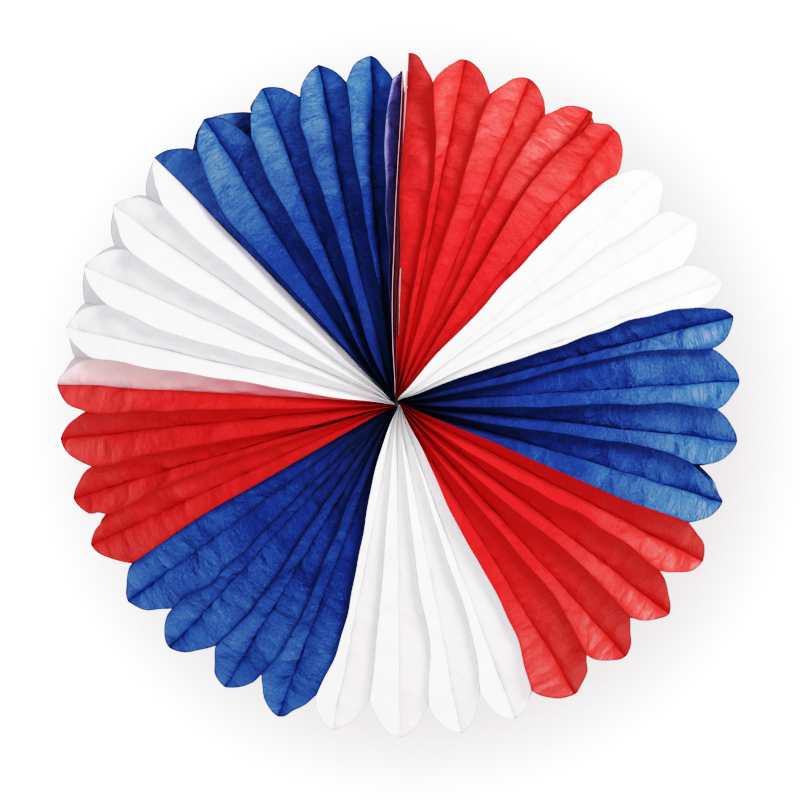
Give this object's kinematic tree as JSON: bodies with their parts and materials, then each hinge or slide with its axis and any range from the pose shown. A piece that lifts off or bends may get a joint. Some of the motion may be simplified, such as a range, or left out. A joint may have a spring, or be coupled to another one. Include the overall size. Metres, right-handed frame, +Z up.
{
  "type": "paper fan rosette",
  "caption": "Round hanging fan of folded tissue leaves in red, white and blue, opened through a full turn and closed on itself.",
  "frame": {"origin": "centre of the hub, at the middle of the fan's depth", "axes": "+Z up through the seam, -Y towards the viewer, +X to the viewer's right; the hub's axis is Y"},
  "size_m": [0.4051, 0.054, 0.4059],
  "materials": {
    "tissue_red": "matte",
    "tissue_white": "matte",
    "tissue_blue": "matte",
    "card": "matte",
    "tape": "matte",
    "thread": "matte"
  },
  "bodies": {
    "root": {"blue_end_card": "card", "blue_leaf_31": "tissue_blue", "blue_leaf_36": "tissue_blue", "blue_petal_08": "tissue_blue", "blue_petal_09": "tissue_blue", "blue_petal_10": "tissue_blue", "blue_petal_11": "tissue_blue", "blue_petal_20": "tissue_blue", "blue_petal_21": "tissue_blue", "blue_petal_22": "tissue_blue", "blue_petal_23": "tissue_blue", "blue_petal_32": "tissue_blue", "blue_petal_33": "tissue_blue", "blue_petal_34": "tissue_blue", "blue_petal_35": "tissue_blue", "centre_tie": "thread", "red_end_card": "card", "red_leaf_00": "tissue_red", "red_leaf_27": "tissue_red", "red_petal_01": "tissue_red", "red_petal_02": "tissue_red", "red_petal_03": "tissue_red", "red_petal_04": "tissue_red", "red_petal_12": "tissue_red", "red_petal_13": "tissue_red", "red_petal_14": "tissue_red", "red_petal_15": "tissue_red", "red_petal_24": "tissue_red", "red_petal_25": "tissue_red", "red_petal_26": "tissue_red", "seam_tape": "tape", "white_leaf_27": "tissue_white", "white_leaf_31": "tissue_white", "white_petal_05": "tissue_white", "white_petal_06": "tissue_white", "white_petal_07": "tissue_white", "white_petal_16": "tissue_white", "white_petal_17": "tissue_white", "white_petal_18": "tissue_white", "white_petal_19": "tissue_white", "white_petal_28": "tissue_white", "white_petal_29": "tissue_white", "white_petal_30": "tissue_white"}
  },
  "joints": []
}
